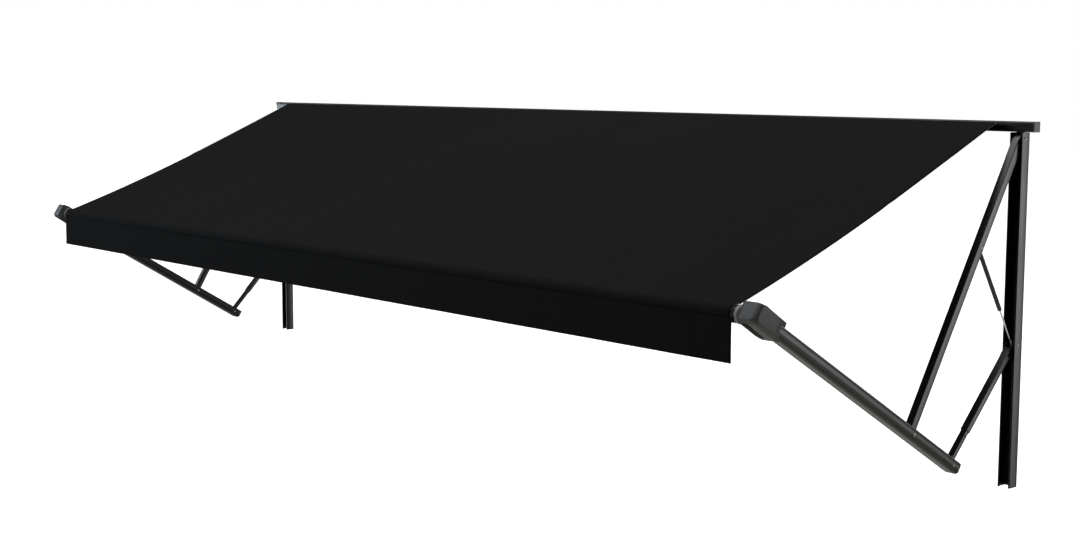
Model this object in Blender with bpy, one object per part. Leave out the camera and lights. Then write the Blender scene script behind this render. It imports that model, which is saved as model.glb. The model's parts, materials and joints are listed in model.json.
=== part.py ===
"""Wall awning with a roll-up canopy: rail, posts, folding arms, struts, roller, canopy and valance.

Metres, +Z up. The origin is the middle of the rail's back face. +X runs along the rail,
and the awning projects from the wall towards -Y. Side outlines are drawn in the YZ plane.
"""
import math

import bmesh
import bpy
from mathutils import Matrix, Vector

for old in list(bpy.data.objects):
    bpy.data.objects.remove(old, do_unlink=True)

# ---- driving dimensions -------------------------------------------------------------------
ARM_X = 3.200              # centre plane of each pair of arms and its post
RAIL_HALF = 3.2825         # half length of the rail without its end caps
RAIL_DEPTH = 0.045
RAIL_HEIGHT = 0.048
FABRIC_HALF = 3.092        # half width of the canopy and the valance
GAP = 0.0004               # air left between pieces that touch

POST_WIDTH = 0.067
POST_DEPTH = 0.0595
POST_TOP = -0.0265
POST_BOTTOM = -1.712
POST_WALL = 0.003
POST_LIP = 0.009

# pivots in the side plane, as (y, z)
TOP_PIVOT = Vector((-0.0374, -0.0543))
LOW_PIVOT = Vector((-0.0342, -1.0243))
ELBOW = Vector((-0.8145, -1.3467))
FOOT = Vector((-0.5137, -1.5284))

UPPER_WIDTH = 0.038
UPPER_WALL = 0.002
UPPER_FRONT = 0.0222       # from the pivot line to the closed front
UPPER_BACK = 0.018         # from the pivot line to the open back
STRUT_PIVOT_AT = 0.573     # along the upper arm from its top pivot

SLEEVE_WIDTH = 0.037
SLEEVE_WALL = 0.002
SLEEVE_END = 0.510
SLIDE_WIDTH = 0.031
SLIDE_START = 0.200
LOCK_AT = 0.532

MAIN_WIDTH = 0.067
MAIN_WALL = 0.003
MAIN_BACK = 0.028          # from the pivot line to the open back
MAIN_FRONT = 0.029         # from the pivot line to the closed front
MAIN_TOP = 1.100
MAIN_END = -0.396

ROLLER_ALONG = 1.180       # roller axis in the main arm's own frame
ROLLER_DOWN = -0.010
TUBE_RADIUS = 0.038
TUBE_WALL = 0.002
TUBE_HALF = 3.105
FABRIC_THICK = 0.002
VALANCE_DROP = 0.187

CYLINDER_RADIUS = 0.010
CYLINDER_LENGTH = 0.361
ROD_RADIUS = 0.004


# ---- materials ------------------------------------------------------------------------------
def material(name, colour, roughness, metallic):
    made = bpy.data.materials.new(name)
    made.use_nodes = True
    shader = made.node_tree.nodes["Principled BSDF"]
    shader.inputs["Base Color"].default_value = (*colour, 1.0)
    shader.inputs["Roughness"].default_value = roughness
    shader.inputs["Metallic"].default_value = metallic
    made.diffuse_color = (*colour, 1.0)
    return made


COAT = material("black_powder_coat", (0.030, 0.030, 0.029), 0.38, 0.0)
PLASTIC = material("black_moulding", (0.028, 0.029, 0.030), 0.45, 0.0)
STEEL = material("zinc_steel", (0.55, 0.55, 0.54), 0.32, 1.0)
CHROME = material("polished_rod", (0.70, 0.70, 0.70), 0.15, 1.0)
FABRIC = material("black_canvas", (0.012, 0.012, 0.012), 0.85, 0.0)
ALLOY = material("mill_alloy", (0.42, 0.42, 0.43), 0.40, 1.0)


# ---- bodies: each moving piece hangs from an empty on its joint's axis -------------------------
def body(name, pivot, x=0.0):
    empty = bpy.data.objects.new(name, None)
    empty.location = (x, pivot[0], pivot[1])
    bpy.context.scene.collection.objects.link(empty)
    return empty


def place(name, mesh, paint, carrier):
    """Make an object whose mesh is in world metres, and hang it from its body's empty."""
    made = bpy.data.objects.new(name, mesh)
    bpy.context.scene.collection.objects.link(made)
    mesh.materials.clear()
    mesh.materials.append(paint)
    if carrier is not None:
        mesh.transform(Matrix.Translation(-carrier.location))
        made.parent = carrier
    return made


# ---- outline helpers ------------------------------------------------------------------------
def rounded(points, radii, steps=4):
    """Replace each corner of a closed outline by an arc of the given radius."""
    result = []
    count = len(points)
    for index, radius in enumerate(radii):
        corner = Vector(points[index])
        if radius == 0:
            result.append(tuple(corner))
            continue
        to_last = (Vector(points[index - 1]) - corner).normalized()
        to_next = (Vector(points[(index + 1) % count]) - corner).normalized()
        half = to_last.angle(to_next) / 2
        centre = corner + (to_last + to_next).normalized() * radius / math.sin(half)
        start = corner + to_last * radius / math.tan(half) - centre
        end = corner + to_next * radius / math.tan(half) - centre
        sweep = start.angle_signed(end)
        for step in range(steps + 1):
            turn = -sweep * step / steps
            spun = Matrix.Rotation(turn, 2) @ start
            result.append(tuple(centre + spun))
    return result


class Line:
    """A frame in the side plane: 'along' runs from one pivot to the other, 'out' is the front."""

    def __init__(self, origin, towards):
        self.origin = origin
        self.along = (towards - origin).normalized()
        self.out = Vector((-self.along.y, self.along.x))
        if self.out.x > 0:
            self.out = -self.out

    def point(self, s, d):
        return self.origin + self.along * s + self.out * d

    def outline(self, points):
        return [tuple(self.point(s, d)) for s, d in points]


def mesh_from(bm, name):
    bmesh.ops.recalc_face_normals(bm, faces=bm.faces)
    mesh = bpy.data.meshes.new(name)
    bm.to_mesh(mesh)
    bm.free()
    return mesh


def prism(name, outline, low, high):
    """A closed YZ outline carried along X from low to high."""
    bm = bmesh.new()
    first = [bm.verts.new((low, y, z)) for y, z in outline]
    face = bm.faces.new(first)
    moved = bmesh.ops.extrude_face_region(bm, geom=[face])["geom"]
    corners = [item for item in moved if isinstance(item, bmesh.types.BMVert)]
    bmesh.ops.translate(bm, verts=corners, vec=(high - low, 0, 0))
    return mesh_from(bm, name)


def beam(name, line, section, start, end, x_centre):
    """A section of (x offset, out offset) points carried along a Line from start to end."""
    bm = bmesh.new()
    ring = []
    for across, out in section:
        y, z = line.point(start, out)
        ring.append(bm.verts.new((x_centre + across, y, z)))
    face = bm.faces.new(ring)
    moved = bmesh.ops.extrude_face_region(bm, geom=[face])["geom"]
    corners = [item for item in moved if isinstance(item, bmesh.types.BMVert)]
    step = line.along * (end - start)
    bmesh.ops.translate(bm, verts=corners, vec=(0, step.x, step.y))
    return mesh_from(bm, name)


def turned(name, centre, profile, segments=16, x_scale=1.0):
    """A closed (x, radius) profile spun about an X axis through centre = (y, z).

    A profile whose ends are at radius 0 makes a solid; any other is closed as a ring.
    """
    bm = bmesh.new()
    solid = profile[0][1] == 0
    rings = []
    for x, radius in profile:
        if radius == 0:
            rings.append([bm.verts.new((x * x_scale, *centre))])
            continue
        ring = []
        for index in range(segments):
            turn = 2 * math.pi * (index + 0.5) / segments
            y = centre[0] + radius * math.cos(turn)
            z = centre[1] + radius * math.sin(turn)
            ring.append(bm.verts.new((x * x_scale, y, z)))
        rings.append(ring)
    pairs = list(zip(rings, rings[1:]))
    if not solid:
        pairs.append((rings[-1], rings[0]))
    for one, two in pairs:
        for index in range(segments):
            after = (index + 1) % segments
            corners = [one[index % len(one)], one[after % len(one)], two[after % len(two)], two[index % len(two)]]
            bm.faces.new(list(dict.fromkeys(corners)))
    mesh = mesh_from(bm, name)
    mesh.shade_smooth()
    mesh.set_sharp_from_angle(angle=math.radians(35))
    return mesh


def rod_along(name, x, start, end, profile, segments=16):
    """A (distance, radius) profile spun about the line from start to end in the plane at x."""
    bm = bmesh.new()
    axis = (end - start).normalized()
    side = Vector((-axis.y, axis.x))
    rings = []
    for distance, radius in profile:
        base = start + axis * distance
        if radius == 0:
            rings.append([bm.verts.new((x, *base))])
            continue
        ring = []
        for index in range(segments):
            turn = 2 * math.pi * (index + 0.5) / segments
            spot = base + side * radius * math.sin(turn)
            ring.append(bm.verts.new((x + radius * math.cos(turn), *spot)))
        rings.append(ring)
    for one, two in zip(rings, rings[1:]):
        for index in range(segments):
            after = (index + 1) % segments
            corners = [one[index % len(one)], one[after % len(one)], two[after % len(two)], two[index % len(two)]]
            bm.faces.new(list(dict.fromkeys(corners)))
    mesh = mesh_from(bm, name)
    mesh.shade_smooth()
    mesh.set_sharp_from_angle(angle=math.radians(35))
    return mesh


def combine(target, mesh, operation="DIFFERENCE"):
    """Cut, join or intersect a piece with a hidden helper shape."""
    helper = bpy.data.objects.new(target.name + "_cutter", mesh)
    bpy.context.scene.collection.objects.link(helper)
    helper.hide_render = True
    helper.display_type = "WIRE"
    helper.parent = target.parent
    if target.parent is not None:
        mesh.transform(Matrix.Translation(-target.parent.location))
    cut = target.modifiers.new(operation.lower(), "BOOLEAN")
    cut.operation = operation
    cut.solver = "EXACT"
    cut.object = helper


def drill(target, centre, radius, low, high):
    """A round hole along X through a piece."""
    combine(target, turned("drill", centre, [(low, 0), (low, radius), (high, radius), (high, 0)], 16))


# ---- frames of the arms ------------------------------------------------------------------------
UPPER = Line(TOP_PIVOT, ELBOW)
LOWER = Line(LOW_PIVOT, FOOT)
MAIN = Line(ELBOW, ELBOW * 2 - FOOT)
UPPER_LENGTH = (ELBOW - TOP_PIVOT).length
LOWER_LENGTH = (FOOT - LOW_PIVOT).length
STRUT_TOP = UPPER.point(STRUT_PIVOT_AT, 0)
STRUT_LENGTH = (LOW_PIVOT - STRUT_TOP).length
MAIN.out = Vector((-abs(MAIN.along.y), -abs(MAIN.along.x)))
FOOT_ALONG = -(FOOT - ELBOW).length
ROLLER = MAIN.point(ROLLER_ALONG, ROLLER_DOWN)

upper_arms = body("upper_arms", TOP_PIVOT)
main_arms = body("main_arms", ELBOW)
lower_sleeves = body("lower_sleeves", LOW_PIVOT)
lower_slides = body("lower_slides", FOOT)
strut_cylinders = body("strut_cylinders", STRUT_TOP)
strut_rods = body("strut_rods", LOW_PIVOT)
roller = body("roller", ROLLER)


# ---- wall rail: a square tube with a bead channel along its top front edge --------------------
BEAD = Vector((-0.0500, 0.0165))
BEAD_OUTER = 0.0075
BEAD_BORE = 0.0048
SLOT = 0.0034


def box_outline(y_low, y_high, z_low, z_high):
    return [(y_low, z_low), (y_high, z_low), (y_high, z_high), (y_low, z_high)]


def circle_outline(centre, radius, steps=20):
    turns = [2 * math.pi * (index + 0.5) / steps for index in range(steps)]
    return [(centre[0] + radius * math.cos(turn), centre[1] + radius * math.sin(turn)) for turn in turns]


def wall_rail():
    half = RAIL_HEIGHT / 2
    wall = 0.003
    outer = box_outline(-RAIL_DEPTH, 0, -half, half)
    rail = place("wall_rail", prism("wall_rail", outer, -RAIL_HALF, RAIL_HALF), COAT, None)
    reach = RAIL_HALF + 0.01
    combine(rail, prism("nose", circle_outline(BEAD, BEAD_OUTER), -RAIL_HALF, RAIL_HALF), "UNION")
    hollow = box_outline(-RAIL_DEPTH + 0.016, -wall, -half + wall, half - wall)
    combine(rail, prism("hollow", hollow, -reach, reach))
    combine(rail, prism("bead", circle_outline(BEAD, BEAD_BORE), -reach, reach))
    slot = box_outline(BEAD.x - 0.012, BEAD.x, BEAD.y - SLOT / 2, BEAD.y + SLOT / 2)
    combine(rail, prism("slot", slot, -reach, reach))


def rail_end_cap(side, label):
    half = RAIL_HEIGHT / 2
    outline = rounded(box_outline(-RAIL_DEPTH - 0.001, 0, -half - 0.001, half + 0.001), [0.003, 0, 0, 0.003])
    start = RAIL_HALF + GAP
    low, high = sorted((side * start, side * (start + 0.004)))
    cap = place("rail_end_cap_" + label, prism("cap", outline, low, high), PLASTIC, None)
    plug = box_outline(-RAIL_DEPTH + 0.0165, -0.0035, -half + 0.0035, half - 0.0035)
    low, high = sorted((side * (RAIL_HALF - 0.018), side * (start + 0.002)))
    combine(cap, prism("plug", plug, low, high), "UNION")


# ---- wall posts: lipped channels that the folded arms lie in ------------------------------------
def post(side, label):
    half = POST_WIDTH / 2
    section = [
        (-half, 0), (half, 0), (half, POST_DEPTH), (half - POST_LIP, POST_DEPTH),
        (half - POST_LIP, POST_DEPTH - POST_WALL), (half - POST_WALL, POST_DEPTH - POST_WALL),
        (half - POST_WALL, POST_WALL), (-half + POST_WALL, POST_WALL),
        (-half + POST_WALL, POST_DEPTH - POST_WALL), (-half + POST_LIP, POST_DEPTH - POST_WALL),
        (-half + POST_LIP, POST_DEPTH), (-half, POST_DEPTH),
    ]
    down = Line(Vector((0, POST_TOP)), Vector((0, POST_BOTTOM)))
    down.out = Vector((-1, 0))
    mesh = beam("post", down, section, 0, POST_TOP - POST_BOTTOM, side * ARM_X)
    made = place("post_" + label, mesh, COAT, None)
    reach = POST_WIDTH
    low, high = side * ARM_X - reach, side * ARM_X + reach
    drill(made, TOP_PIVOT, 0.0055, low, high)
    drill(made, LOW_PIVOT, 0.0055, low, high)


def hanger_bracket(side, label):
    """An angle plate inside the post's top that carries the post from the rail."""
    y_back = -POST_WALL - GAP
    outline = [
        (y_back, -0.100), (y_back - 0.003, -0.100), (y_back - 0.003, POST_TOP - 0.001),
        (y_back - 0.022, POST_TOP - 0.001), (y_back - 0.022, -0.0245), (y_back, -0.0245),
    ]
    mesh = prism("hanger", outline, side * ARM_X - 0.022, side * ARM_X + 0.022)
    place("hanger_bracket_" + label, mesh, STEEL, None)


def through_bolt(name, centre, side, reach, carrier, shank=0.005, head=0.0085, head_height=0.004):
    """A dome-headed bolt across a pair of channel walls, reach being half the width outside them."""
    start = ARM_X - reach - GAP
    end = ARM_X + reach + GAP
    profile = [
        (start - head_height, 0), (start - head_height, head * 0.6), (start - head_height * 0.4, head),
        (start, head), (start, shank), (end, shank), (end, head), (end + head_height * 0.4, head),
        (end + head_height, head * 0.6), (end + head_height, 0),
    ]
    return place(name, turned(name, centre, profile, 16, side), STEEL, carrier)


def short_pin(name, centre, side, wall_x, inner_x, carrier, shank=0.005):
    """A rivet through one channel wall; its head is outside wall_x and its shank ends at inner_x."""
    out = 1 if wall_x > inner_x else -1
    head = wall_x + out * GAP
    profile = [
        (head + out * 0.0035, 0), (head + out * 0.0035, 0.005), (head + out * 0.0012, 0.0075),
        (head, 0.0075), (head, shank), (inner_x, shank), (inner_x, 0),
    ]
    return place(name, turned(name, centre, profile, 14, side), STEEL, carrier)


# ---- upper arms -----------------------------------------------------------------------------------
def upper_arm(side, label):
    x = side * ARM_X
    half = UPPER_WIDTH / 2
    top, foot = -0.024, UPPER_LENGTH + 0.017
    shape = [(top, UPPER_FRONT), (foot, UPPER_FRONT), (foot, -UPPER_BACK), (top, -UPPER_BACK)]
    outer = UPPER.outline(rounded(shape, [0.0205, 0.0165, 0.004, 0.004], 6))
    made = place("upper_arm_" + label, prism("upper", outer, x - half, x + half), COAT, upper_arms)
    inside = UPPER_FRONT - UPPER_WALL
    hollow = [
        (top - 0.02, -UPPER_BACK - 0.02), (top - 0.02, 0.000), (top + 0.024, inside),
        (foot + 0.02, inside), (foot + 0.02, -UPPER_BACK - 0.02),
    ]
    wall_x = half - UPPER_WALL
    combine(made, prism("hollow", UPPER.outline(hollow), x - wall_x, x + wall_x))
    for spot in (TOP_PIVOT, ELBOW, STRUT_TOP):
        drill(made, spot, 0.0055, x - UPPER_WIDTH, x + UPPER_WIDTH)


# ---- lower arms: a sleeve on the post and a slide that telescopes in it ---------------------------
def lower_sleeve(side, label):
    x = side * ARM_X
    half = SLEEVE_WIDTH / 2
    front, back = 0.0160, 0.0130
    shape = [(-0.013, front), (SLEEVE_END, front), (SLEEVE_END, -back), (-0.013, -back)]
    outer = LOWER.outline(rounded(shape, [0.012, 0.002, 0.002, 0.012]))
    made = place("lower_sleeve_" + label, prism("sleeve", outer, x - half, x + half), COAT, lower_sleeves)
    wall_x = half - SLEEVE_WALL
    reach = SLEEVE_END + 0.02
    bore = [(-0.03, front - SLEEVE_WALL), (reach, front - SLEEVE_WALL), (reach, -back + SLEEVE_WALL),
            (-0.03, -back + SLEEVE_WALL)]
    combine(made, prism("bore", LOWER.outline(bore), x - wall_x, x + wall_x))
    fork = [(-0.03, front + 0.01), (0.075, front + 0.01), (0.075, -back - 0.01), (-0.03, -back - 0.01)]
    combine(made, prism("fork", LOWER.outline(fork), x - wall_x, x + wall_x))
    drill(made, LOW_PIVOT, 0.0055, x - SLEEVE_WIDTH, x + SLEEVE_WIDTH)


def lower_slide(side, label):
    x = side * ARM_X
    half = SLIDE_WIDTH / 2
    end = LOWER_LENGTH + 0.011
    front, back = 0.0125, 0.0095
    shape = [(SLIDE_START, front), (end, front), (end, -back), (SLIDE_START, -back)]
    outer = LOWER.outline(rounded(shape, [0, 0.0105, 0.0080, 0]))
    made = place("lower_slide_" + label, prism("slide", outer, x - half, x + half), COAT, lower_slides)
    wall_x = half - 0.002
    hollow = [(SLIDE_START - 0.01, front - 0.002), (LOWER_LENGTH - 0.03, front - 0.002),
              (LOWER_LENGTH - 0.03, -back - 0.01), (SLIDE_START - 0.01, -back - 0.01)]
    combine(made, prism("hollow", LOWER.outline(hollow), x - wall_x, x + wall_x))
    spot = LOWER.point(LOCK_AT, 0)
    drill(made, spot, 0.0044, x, x + side * SLIDE_WIDTH)


def lock_button(side, label):
    """A sprung button in the slide's outer wall, just below the sleeve's end."""
    spot = LOWER.point(LOCK_AT, 0)
    wall_x = ARM_X + SLIDE_WIDTH / 2
    profile = [
        (wall_x - 0.009, 0), (wall_x - 0.009, 0.0065), (wall_x - 0.0028, 0.0065), (wall_x - 0.0028, 0.0040),
        (wall_x + 0.0035, 0.0040), (wall_x + 0.0050, 0.0026), (wall_x + 0.0050, 0),
    ]
    carrier = body("lock_button_" + label + "_axis", spot, side * wall_x)
    place("lock_button_" + label, turned("button", spot, profile, 14, side), STEEL, carrier)


# ---- gas struts ---------------------------------------------------------------------------------------
def strut(side, label):
    x = side * ARM_X
    bore = 0.0075
    cylinder = place(
        "strut_cylinder_" + label,
        rod_along("cylinder", x, STRUT_TOP, LOW_PIVOT, [
            (-0.012, 0), (-0.012, 0.006), (-0.008, 0.0085), (0.012, 0.0085), (0.016, CYLINDER_RADIUS),
            (CYLINDER_LENGTH - 0.003, CYLINDER_RADIUS), (CYLINDER_LENGTH, 0.0085), (CYLINDER_LENGTH, 0)]),
        COAT, strut_cylinders)
    direction = (LOW_PIVOT - STRUT_TOP).normalized()
    bore_start = STRUT_TOP + direction * 0.135
    bore_end = LOW_PIVOT
    combine(cylinder, rod_along("bore", x, bore_start, bore_end, [
        (0, 0), (0, bore), (0.20, bore), (0.20, ROD_RADIUS + 0.0005), (0.26, ROD_RADIUS + 0.0005), (0.26, 0)]))
    drill(cylinder, STRUT_TOP, 0.0045, x - 0.02, x + 0.02)
    length = STRUT_LENGTH
    rod = place(
        "strut_rod_" + label,
        rod_along("rod", x, STRUT_TOP, LOW_PIVOT, [
            (0.325, 0), (0.325, 0.007), (0.331, 0.007), (0.331, ROD_RADIUS),
            (length - 0.020, ROD_RADIUS), (length - 0.014, 0.0055), (length + 0.005, 0.0055),
            (length + 0.008, 0.003), (length + 0.008, 0)]),
        CHROME, strut_rods)
    drill(rod, LOW_PIVOT, 0.0024, x - 0.02, x + 0.02)
    pin_half = UPPER_WIDTH / 2
    start, end = ARM_X - pin_half - GAP, ARM_X + pin_half + GAP
    profile = [(start - 0.0025, 0), (start - 0.0025, 0.007), (start, 0.007), (start, 0.0041),
               (end, 0.0041), (end, 0.007), (end + 0.0025, 0.007), (end + 0.0025, 0)]
    place("strut_pin_" + label, turned("pin", STRUT_TOP, profile, 14, side), STEEL, upper_arms)


# ---- main arms: deep channels with a rounded front ---------------------------------------------------
def main_arm(side, label):
    x = side * ARM_X
    half = MAIN_WIDTH / 2
    outer = rounded([(-half, -MAIN_BACK), (-half, MAIN_FRONT), (half, MAIN_FRONT), (half, -MAIN_BACK)],
                    [0, 0.017, 0.017, 0], 5)
    inner_half = half - MAIN_WALL
    inner = rounded([(inner_half, -MAIN_BACK), (inner_half, MAIN_FRONT - MAIN_WALL),
                     (-inner_half, MAIN_FRONT - MAIN_WALL), (-inner_half, -MAIN_BACK)],
                    [0, 0.014, 0.014, 0], 5)
    made = place("main_arm_" + label, beam("main", MAIN, outer + inner, MAIN_END, MAIN_TOP, x), COAT, main_arms)
    side_shape = rounded([(MAIN_END - 0.02, -MAIN_BACK - 0.01), (MAIN_TOP + 0.02, -MAIN_BACK - 0.01),
                          (MAIN_TOP + 0.02, MAIN_FRONT + 0.01), (MAIN_END + 0.001, MAIN_FRONT + 0.01),
                          (MAIN_END - 0.02, 0.010)], [0, 0, 0, 0.018, 0], 5)
    combine(made, prism("trim", MAIN.outline(side_shape), x - MAIN_WIDTH, x + MAIN_WIDTH), "INTERSECT")
    for spot in (ELBOW, FOOT):
        drill(made, spot, 0.0055, x - MAIN_WIDTH, x + MAIN_WIDTH)


def main_arm_end_cap(side, label):
    """A moulded plug that closes the lower end of a main arm."""
    x = side * ARM_X
    half = MAIN_WIDTH / 2
    start, end = MAIN_END - 0.014, MAIN_END - GAP
    flange = [(start, -MAIN_BACK), (end, -MAIN_BACK), (end, MAIN_FRONT - 0.006), (start, 0.013)]
    outline = MAIN.outline(rounded(flange, [0.003, 0, 0, 0.008]))
    cap = place("main_arm_end_cap_" + label, prism("cap", outline, x - half, x + half), PLASTIC, main_arms)
    inner = half - MAIN_WALL - 0.0006
    plug = [(start + 0.004, -MAIN_BACK + 0.001), (MAIN_END + 0.014, -MAIN_BACK + 0.001),
            (MAIN_END + 0.014, -0.002), (start + 0.004, -0.002)]
    combine(cap, prism("plug", MAIN.outline(plug), x - inner, x + inner), "UNION")


# ---- heads: moulded housings that hold the roller at the tops of the main arms -------------------------
HEAD_INNER = 0.0530        # from the arm's centre plane towards the canopy
HEAD_OUTER = 0.0405
HEAD_SHAPE = [
    (1.040, -0.0545), (1.195, -0.0600), (1.2365, -0.0525), (1.2400, 0.0280), (1.2200, 0.0410), (1.100, 0.0440),
    (1.052, 0.0400), (1.040, 0.0300),
]


def head_housing(side, label):
    inner, outer = side * (ARM_X - HEAD_INNER), side * (ARM_X + HEAD_OUTER)
    low, high = sorted((inner, outer))
    outline = MAIN.outline(rounded(HEAD_SHAPE, [0.003, 0.020, 0.006, 0.010, 0.012, 0.02, 0.006, 0.003]))
    made = place("head_housing_" + label, prism("head", outline, low, high), PLASTIC, main_arms)
    bevel = made.modifiers.new("soft_edges", "BEVEL")
    bevel.width = 0.005
    bevel.segments = 2
    bevel.limit_method = "ANGLE"
    bevel.angle_limit = math.radians(50)
    socket = [(1.00, -MAIN_BACK - GAP), (MAIN_TOP + GAP, -MAIN_BACK - GAP),
              (MAIN_TOP + GAP, MAIN_FRONT + GAP), (1.00, MAIN_FRONT + GAP)]
    half = MAIN_WIDTH / 2 + GAP
    x = side * ARM_X
    combine(made, prism("socket", MAIN.outline(socket), x - half, x + half))
    pocket = rounded([(1.112, -0.052), (1.228, -0.046), (1.228, 0.026), (1.112, 0.034)], [0.004] * 4)
    low, high = sorted((side * (ARM_X - HEAD_INNER - 0.01), side * (ARM_X + HEAD_OUTER - 0.006)))
    combine(made, prism("pocket", MAIN.outline(pocket), low, high))


def head_cover(side, label):
    """The plate that closes the pocket on the canopy side, with a hole for the spindle."""
    shape = rounded([(1.1125, -0.0515), (1.2275, -0.0455), (1.2275, 0.0255), (1.1125, 0.0335)], [0.004] * 4)
    low, high = sorted((side * (ARM_X - HEAD_INNER), side * (ARM_X - HEAD_INNER + 0.004)))
    made = place("head_cover_" + label, prism("cover", MAIN.outline(shape), low, high), PLASTIC, main_arms)
    drill(made, ROLLER, 0.0105, low - 0.01, high + 0.01)


def gear_case(side, label):
    """The block inside the head that the spindle is fixed in: the gears' case on the drive side."""
    shape = rounded([(1.120, -0.045), (1.222, -0.040), (1.222, 0.020), (1.120, 0.026)], [0.006] * 4)
    low, high = sorted((side * (ARM_X - 0.040), side * (ARM_X + 0.030)))
    place(label, prism(label, MAIN.outline(shape), low, high), ALLOY, main_arms)


def spindles():
    """The drive motor lies inside the right end of the tube, and a plain spindle is in the left."""
    head_x = ARM_X - 0.040 - GAP
    motor = [(head_x, 0), (head_x, 0.0100), (3.052, 0.0100), (3.052, 0.030), (2.560, 0.030), (2.555, 0.026),
             (2.540, 0.026), (2.540, 0)]
    place("drive_motor", turned("motor", ROLLER, motor, 20), ALLOY, main_arms)
    idler = [(head_x, 0), (head_x, 0.0100), (3.052, 0.0100), (3.052, 0.014), (3.044, 0.014), (3.044, 0)]
    place("idler_spindle", turned("idler", ROLLER, idler, 16, -1), STEEL, main_arms)


# ---- roller, canopy and valance -----------------------------------------------------------------------
def roller_parts():
    tube = [(-TUBE_HALF, TUBE_RADIUS), (TUBE_HALF, TUBE_RADIUS), (TUBE_HALF, TUBE_RADIUS - TUBE_WALL),
            (-TUBE_HALF, TUBE_RADIUS - TUBE_WALL)]
    place("roller_tube", turned("tube", ROLLER, tube, 36), ALLOY, roller)
    bore = 0.0104
    for side, label in SIDES:
        start = TUBE_HALF + GAP
        flange = [(TUBE_HALF - 0.040, bore), (TUBE_HALF - 0.040, 0.0356), (start, 0.0356), (start, 0.0410),
                  (start + 0.010, 0.0410), (start + 0.014, 0.0370), (start + 0.014, bore)]
        place("roller_end_" + label, turned("flange", ROLLER, flange, 28, side), PLASTIC, roller)


def canopy_line():
    """Underside points of the canopy: out of the rail, a slack bend, and round the roller's front."""
    start = BEAD - Vector((0, FABRIC_THICK / 2))
    leave = start - Vector((0.0085, 0))
    bend = Vector((-0.862, -0.3345))
    radius = TUBE_RADIUS + 0.0006
    slope = math.atan(0.357)
    touch = ROLLER + Vector((math.sin(slope), math.cos(slope))) * radius
    points = [start, leave]
    for step in range(1, 7):
        points.append(leave.lerp(bend, step / 6))
    sag = 0.010
    for step in range(1, 8):
        share = step / 8
        spot = bend.lerp(touch, share)
        points.append(spot - Vector((0, sag * 4 * share * (1 - share))))
    wrap_start = math.pi / 2 - slope
    wrap_end = math.pi + math.radians(14)
    for step in range(0, 11):
        turn = wrap_start + (wrap_end - wrap_start) * step / 10
        points.append(ROLLER + Vector((math.cos(turn), math.sin(turn))) * radius)
    return points


def thick_outline(points, thickness):
    """Both sides of a sheet whose inner side follows points; the outer side is on the left hand."""
    outer = []
    for index, spot in enumerate(points):
        before = points[max(index - 1, 0)]
        after = points[min(index + 1, len(points) - 1)]
        run = (after - before).normalized()
        outer.append(spot + Vector((run.y, -run.x)) * thickness)
    return [tuple(p) for p in points] + [tuple(p) for p in reversed(outer)]


def canopy():
    points = canopy_line()
    outline = thick_outline(points, FABRIC_THICK)
    middle = (Vector(outline[0]) + Vector(outline[-1])) / 2
    made = place("canopy", prism("canopy", outline, -FABRIC_HALF, FABRIC_HALF), FABRIC, None)
    bead = prism("bead", circle_outline(middle, 0.0036, 12), -FABRIC_HALF, FABRIC_HALF)
    combine(made, bead, "UNION")


def valance():
    """A straight skirt that hangs from the roller's front, with a hem at its foot."""
    y = ROLLER.x - TUBE_RADIUS - 0.0010
    top = ROLLER.y - 0.0130
    foot = top - VALANCE_DROP
    outline = [
        (y, top), (y, foot + 0.022), (y + 0.0006, foot + 0.020), (y + 0.0006, foot), (y - 0.0028, foot),
        (y - 0.0028, foot + 0.020), (y - 0.0022, foot + 0.022), (y - 0.0022, top),
    ]
    place("valance", prism("valance", outline, -FABRIC_HALF, FABRIC_HALF), FABRIC, roller)


# ---- assembly ---------------------------------------------------------------------------------------------
SIDES = ((1, "right"), (-1, "left"))

wall_rail()
for hand, tag in SIDES:
    rail_end_cap(hand, tag)
    post(hand, tag)
    hanger_bracket(hand, tag)
    through_bolt("top_pivot_bolt_" + tag, TOP_PIVOT, hand, POST_WIDTH / 2, None)
    for wall_side, wall_name in ((1, "outer"), (-1, "inner")):
        wall = ARM_X + wall_side * POST_WIDTH / 2
        stop = ARM_X + wall_side * (SLEEVE_WIDTH / 2 - SLEEVE_WALL - 0.001)
        short_pin("low_pivot_pin_" + tag + "_" + wall_name, LOW_PIVOT, hand, wall, stop, None)
        wall = ARM_X + wall_side * MAIN_WIDTH / 2
        stop = ARM_X + wall_side * (SLIDE_WIDTH / 2 + 0.0015)
        short_pin("foot_pin_" + tag + "_" + wall_name, FOOT, hand, wall, stop, main_arms)
    upper_arm(hand, tag)
    through_bolt("elbow_bolt_" + tag, ELBOW, hand, MAIN_WIDTH / 2, main_arms)
    lower_sleeve(hand, tag)
    lower_slide(hand, tag)
    lock_button(hand, tag)
    strut(hand, tag)
    main_arm(hand, tag)
    main_arm_end_cap(hand, tag)
    head_housing(hand, tag)
    head_cover(hand, tag)
gear_case(1, "gear_case")
gear_case(-1, "bearing_block")
spindles()
roller_parts()
canopy()
valance()
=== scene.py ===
# %% [markdown]
# # A wall awning in black canvas
# This lesson dresses a measured frame of a roll-up awning. The frame gives every pivot and every
# section size; here each visible piece gets its real surface, made from a formula on a grid of
# numbers, and a finish made from shader nodes. Metres everywhere, the awning projects towards -Y.

import json
import math

import bmesh
import bpy
import numpy as np
from mathutils import Matrix, Vector


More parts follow.
